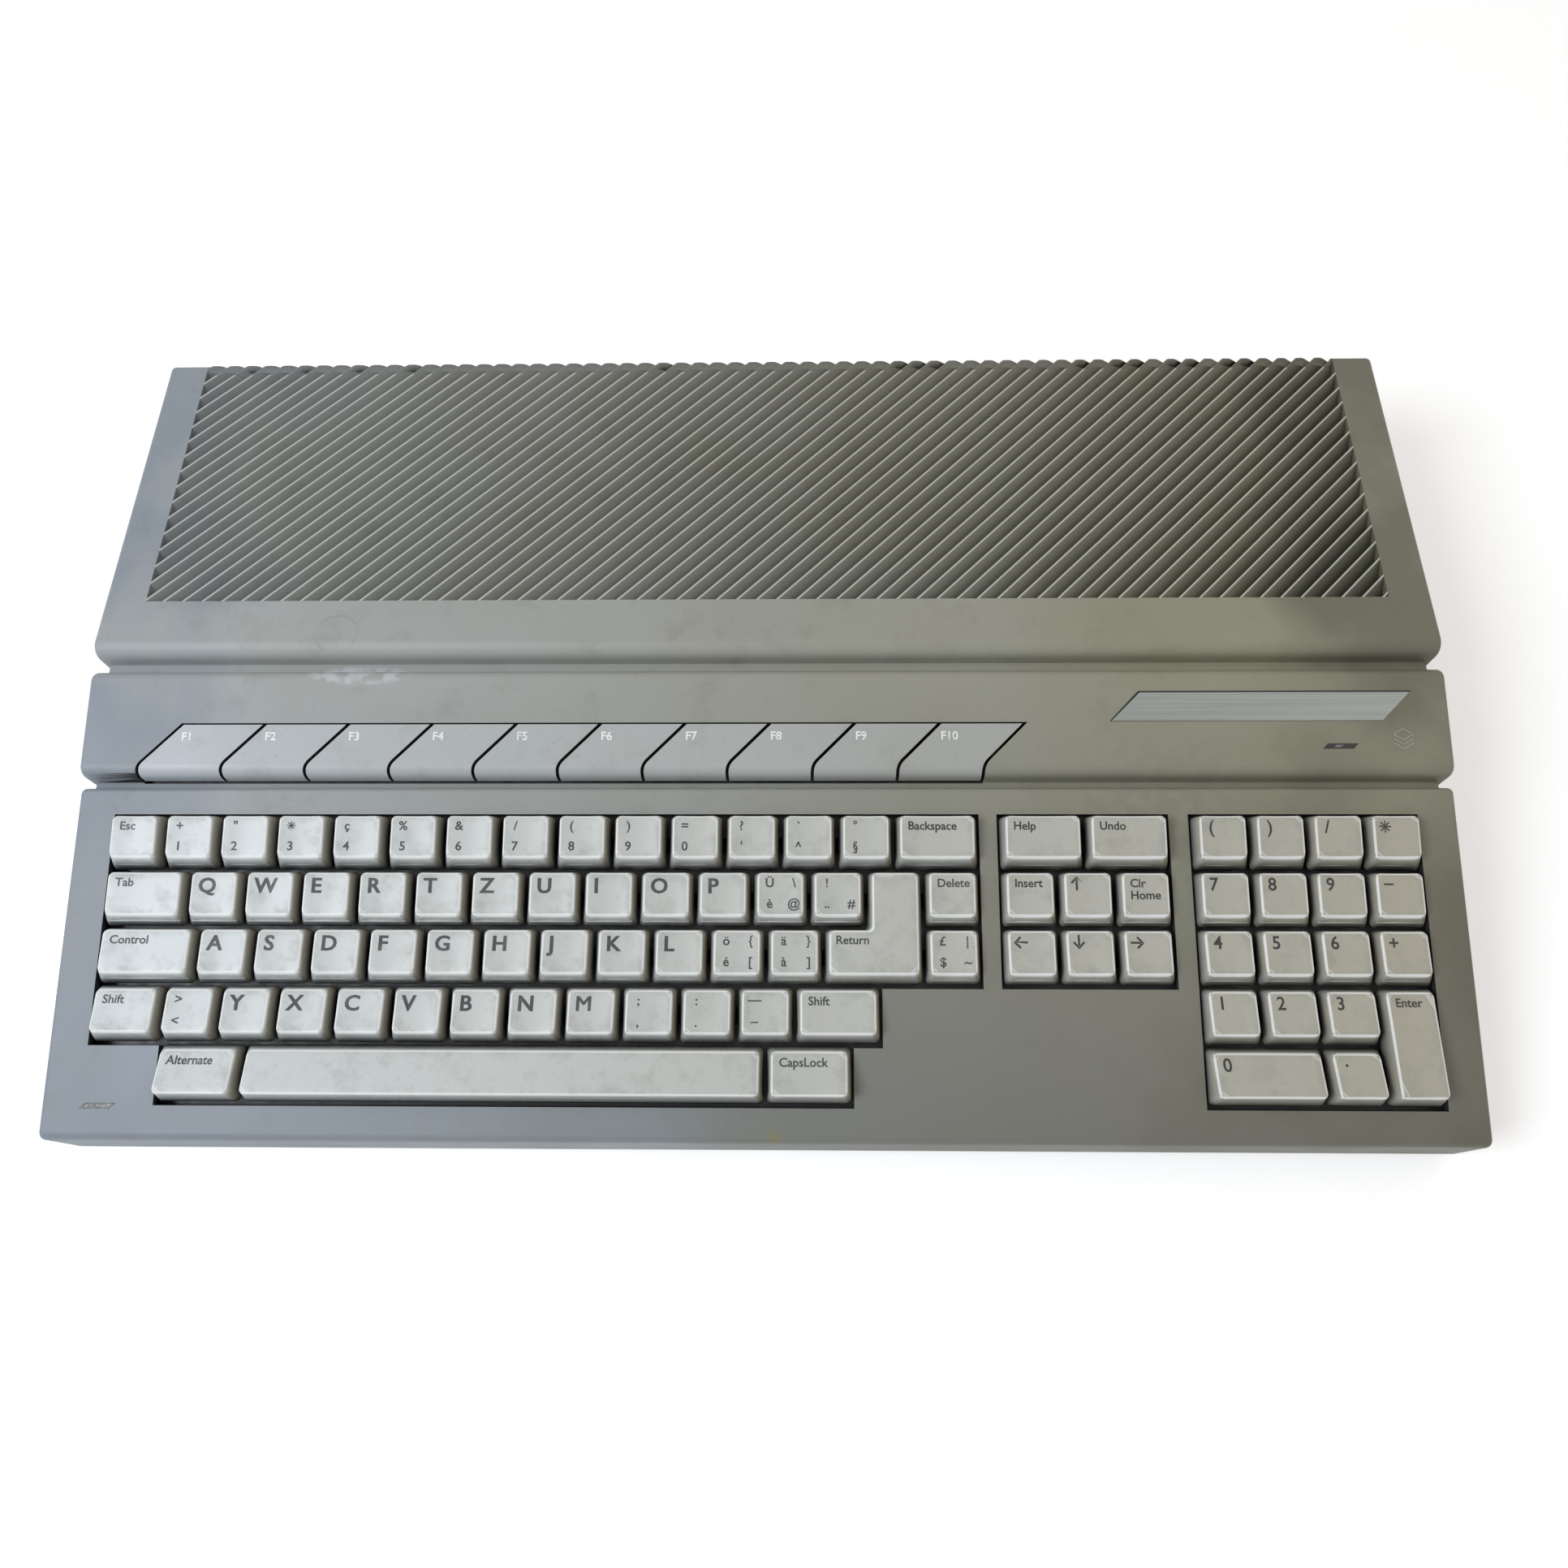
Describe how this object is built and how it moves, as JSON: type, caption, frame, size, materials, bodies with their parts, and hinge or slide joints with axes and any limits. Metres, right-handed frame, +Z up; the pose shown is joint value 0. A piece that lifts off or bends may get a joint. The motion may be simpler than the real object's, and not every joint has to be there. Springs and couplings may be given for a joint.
{
  "type": "vintage home computer",
  "caption": "Keyboard computer: grey case with sloping key deck, slanted function keys, ribbed rear top, side disk drive and rear ports; every key, flap, button and switch moves.",
  "frame": {"origin": "on the table under the middle of the case", "axes": "+X to the right, +Y to the back, +Z up; the keyboard's front edge faces -Y"},
  "size_m": [0.47, 0.29, 0.0645],
  "materials": {
    "case_plastic": "finely textured warm grey ABS",
    "key_plastic": "satin pale grey keycap plastic",
    "dark_plastic": "matt black moulding",
    "rubber": "matt black rubber",
    "steel": "zinc-plated sheet steel",
    "board": "green solder-masked glass-fibre board",
    "chip": "moulded black epoxy",
    "lens": "clear tinted acrylic",
    "plate": "brushed aluminium"
  },
  "bodies": {
    "case": {"top_case": "case_plastic", "bottom_case": "case_plastic", "rubber_feet": "rubber", "case_screws": "steel", "keyboard_frame": "dark_plastic", "dome_mat": "rubber", "keyboard_circuit_board": "board", "main_circuit_board": "board", "main_board_chips": "chip", "main_shield": "steel", "power_supply_board": "board", "supply_components": "steel", "supply_shield": "steel", "disk_drive_chassis": "steel", "drive_faceplate": "case_plastic", "rear_d_sockets": "steel", "controller_sockets": "steel", "din_sockets": "dark_plastic", "cartridge_connector": "dark_plastic", "power_inlet": "dark_plastic", "power_switch_housing": "dark_plastic", "lamp_lenses": "lens", "name_plate": "plate", "internal_leads": "dark_plastic"},
    "drive_spindle": {"drive_spindle": "steel"},
    "disk_shutter": {"disk_shutter": "dark_plastic"},
    "disk_eject_button": {"disk_eject_button": "case_plastic"},
    "power_switch_rocker": {"power_switch_rocker": "dark_plastic"},
    "reset_button": {"reset_button": "dark_plastic"},
    "backspace_key": {"backspace_key": "key_plastic"},
    "tab_key": {"tab_key": "key_plastic"},
    "control_key": {"control_key": "key_plastic"},
    "left_shift_key": {"left_shift_key": "key_plastic"},
    "right_shift_key": {"right_shift_key": "key_plastic"},
    "alternate_key": {"alternate_key": "key_plastic"},
    "space_bar": {"space_bar": "key_plastic"},
    "caps_lock_key": {"caps_lock_key": "key_plastic"},
    "help_key": {"help_key": "key_plastic"},
    "undo_key": {"undo_key": "key_plastic"},
    "return_key": {"return_key": "key_plastic"},
    "keypad_zero_key": {"keypad_zero_key": "key_plastic"},
    "keypad_enter_key": {"keypad_enter_key": "key_plastic"},
    "number_row_keys": {"number_row_keys": "key_plastic"},
    "upper_letter_keys": {"upper_letter_keys": "key_plastic"},
    "home_row_keys": {"home_row_keys": "key_plastic"},
    "lower_letter_keys": {"lower_letter_keys": "key_plastic"},
    "cursor_keys": {"cursor_keys": "key_plastic"},
    "keypad_sign_keys": {"keypad_sign_keys": "key_plastic"},
    "keypad_digit_keys": {"keypad_digit_keys": "key_plastic"},
    "function_key_1": {"function_key_1": "case_plastic"},
    "function_key_2": {"function_key_2": "case_plastic"},
    "function_key_3": {"function_key_3": "case_plastic"},
    "function_key_4": {"function_key_4": "case_plastic"},
    "function_key_5": {"function_key_5": "case_plastic"},
    "function_key_6": {"function_key_6": "case_plastic"},
    "function_key_7": {"function_key_7": "case_plastic"},
    "function_key_8": {"function_key_8": "case_plastic"},
    "function_key_9": {"function_key_9": "case_plastic"},
    "function_key_10": {"function_key_10": "case_plastic"}
  },
  "joints": [
    {"name": "backspace_key_press", "type": "slide", "parent": "case", "child": "backspace_key", "axis": [0, -0.2096, 0.9778], "range_m": [-0.0035, 0], "stiffness_N_per_m": 160},
    {"name": "tab_key_press", "type": "slide", "parent": "case", "child": "tab_key", "axis": [0, -0.2096, 0.9778], "range_m": [-0.0035, 0], "stiffness_N_per_m": 160},
    {"name": "control_key_press", "type": "slide", "parent": "case", "child": "control_key", "axis": [0, -0.2096, 0.9778], "range_m": [-0.0035, 0], "stiffness_N_per_m": 160},
    {"name": "left_shift_key_press", "type": "slide", "parent": "case", "child": "left_shift_key", "axis": [0, -0.2096, 0.9778], "range_m": [-0.0035, 0], "stiffness_N_per_m": 160},
    {"name": "right_shift_key_press", "type": "slide", "parent": "case", "child": "right_shift_key", "axis": [0, -0.2096, 0.9778], "range_m": [-0.0035, 0], "stiffness_N_per_m": 160},
    {"name": "alternate_key_press", "type": "slide", "parent": "case", "child": "alternate_key", "axis": [0, -0.2096, 0.9778], "range_m": [-0.0035, 0], "stiffness_N_per_m": 160},
    {"name": "space_bar_press", "type": "slide", "parent": "case", "child": "space_bar", "axis": [0, -0.2096, 0.9778], "range_m": [-0.0035, 0], "stiffness_N_per_m": 160},
    {"name": "caps_lock_key_press", "type": "slide", "parent": "case", "child": "caps_lock_key", "axis": [0, -0.2096, 0.9778], "range_m": [-0.0035, 0], "stiffness_N_per_m": 160},
    {"name": "help_key_press", "type": "slide", "parent": "case", "child": "help_key", "axis": [0, -0.2096, 0.9778], "range_m": [-0.0035, 0], "stiffness_N_per_m": 160},
    {"name": "undo_key_press", "type": "slide", "parent": "case", "child": "undo_key", "axis": [0, -0.2096, 0.9778], "range_m": [-0.0035, 0], "stiffness_N_per_m": 160},
    {"name": "return_key_press", "type": "slide", "parent": "case", "child": "return_key", "axis": [0, -0.2096, 0.9778], "range_m": [-0.0035, 0], "stiffness_N_per_m": 160},
    {"name": "keypad_zero_key_press", "type": "slide", "parent": "case", "child": "keypad_zero_key", "axis": [0, -0.2096, 0.9778], "range_m": [-0.0035, 0], "stiffness_N_per_m": 160},
    {"name": "keypad_enter_key_press", "type": "slide", "parent": "case", "child": "keypad_enter_key", "axis": [0, -0.2096, 0.9778], "range_m": [-0.0035, 0], "stiffness_N_per_m": 160},
    {"name": "number_row_keys_press", "type": "slide", "parent": "case", "child": "number_row_keys", "axis": [0, -0.2096, 0.9778], "range_m": [-0.0035, 0], "stiffness_N_per_m": 160},
    {"name": "upper_letter_keys_press", "type": "slide", "parent": "case", "child": "upper_letter_keys", "axis": [0, -0.2096, 0.9778], "range_m": [-0.0035, 0], "stiffness_N_per_m": 160},
    {"name": "home_row_keys_press", "type": "slide", "parent": "case", "child": "home_row_keys", "axis": [0, -0.2096, 0.9778], "range_m": [-0.0035, 0], "stiffness_N_per_m": 160},
    {"name": "lower_letter_keys_press", "type": "slide", "parent": "case", "child": "lower_letter_keys", "axis": [0, -0.2096, 0.9778], "range_m": [-0.0035, 0], "stiffness_N_per_m": 160},
    {"name": "cursor_keys_press", "type": "slide", "parent": "case", "child": "cursor_keys", "axis": [0, -0.2096, 0.9778], "range_m": [-0.0035, 0], "stiffness_N_per_m": 160},
    {"name": "keypad_sign_keys_press", "type": "slide", "parent": "case", "child": "keypad_sign_keys", "axis": [0, -0.2096, 0.9778], "range_m": [-0.0035, 0], "stiffness_N_per_m": 160},
    {"name": "keypad_digit_keys_press", "type": "slide", "parent": "case", "child": "keypad_digit_keys", "axis": [0, -0.2096, 0.9778], "range_m": [-0.0035, 0], "stiffness_N_per_m": 160},
    {"name": "function_key_1_press", "type": "slide", "parent": "case", "child": "function_key_1", "axis": [0, -0.2096, 0.9778], "range_m": [-0.0035, 0], "stiffness_N_per_m": 160},
    {"name": "function_key_2_press", "type": "slide", "parent": "case", "child": "function_key_2", "axis": [0, -0.2096, 0.9778], "range_m": [-0.0035, 0], "stiffness_N_per_m": 160},
    {"name": "function_key_3_press", "type": "slide", "parent": "case", "child": "function_key_3", "axis": [0, -0.2096, 0.9778], "range_m": [-0.0035, 0], "stiffness_N_per_m": 160},
    {"name": "function_key_4_press", "type": "slide", "parent": "case", "child": "function_key_4", "axis": [0, -0.2096, 0.9778], "range_m": [-0.0035, 0], "stiffness_N_per_m": 160},
    {"name": "function_key_5_press", "type": "slide", "parent": "case", "child": "function_key_5", "axis": [0, -0.2096, 0.9778], "range_m": [-0.0035, 0], "stiffness_N_per_m": 160},
    {"name": "function_key_6_press", "type": "slide", "parent": "case", "child": "function_key_6", "axis": [0, -0.2096, 0.9778], "range_m": [-0.0035, 0], "stiffness_N_per_m": 160},
    {"name": "function_key_7_press", "type": "slide", "parent": "case", "child": "function_key_7", "axis": [0, -0.2096, 0.9778], "range_m": [-0.0035, 0], "stiffness_N_per_m": 160},
    {"name": "function_key_8_press", "type": "slide", "parent": "case", "child": "function_key_8", "axis": [0, -0.2096, 0.9778], "range_m": [-0.0035, 0], "stiffness_N_per_m": 160},
    {"name": "function_key_9_press", "type": "slide", "parent": "case", "child": "function_key_9", "axis": [0, -0.2096, 0.9778], "range_m": [-0.0035, 0], "stiffness_N_per_m": 160},
    {"name": "function_key_10_press", "type": "slide", "parent": "case", "child": "function_key_10", "axis": [0, -0.2096, 0.9778], "range_m": [-0.0035, 0], "stiffness_N_per_m": 160},
    {"name": "disk_shutter_swing", "type": "hinge", "parent": "case", "child": "disk_shutter", "pos_m": [0.22681, 0.02542, 0.0373], "axis": [0, 1, 0], "range_deg": [0, 80], "stiffness_Nm_per_rad": 0.002},
    {"name": "disk_eject_push", "type": "slide", "parent": "case", "child": "disk_eject_button", "axis": [1, 0, 0], "range_m": [-0.0028, 0], "stiffness_N_per_m": 200},
    {"name": "power_switch_rock", "type": "hinge", "parent": "case", "child": "power_switch_rocker", "pos_m": [0.18401, 0.13152, 0.0315], "axis": [1, 0, 0], "range_deg": [-18, 0]},
    {"name": "reset_button_press", "type": "slide", "parent": "case", "child": "reset_button", "axis": [0, 1, 0], "range_m": [-0.0015, 0], "stiffness_N_per_m": 200},
    {"name": "drive_spindle_spin", "type": "hinge", "parent": "case", "child": "drive_spindle", "pos_m": [0.16721, 0.02542, 0.026], "axis": [0, 0, 1], "continuous": true}
  ]
}
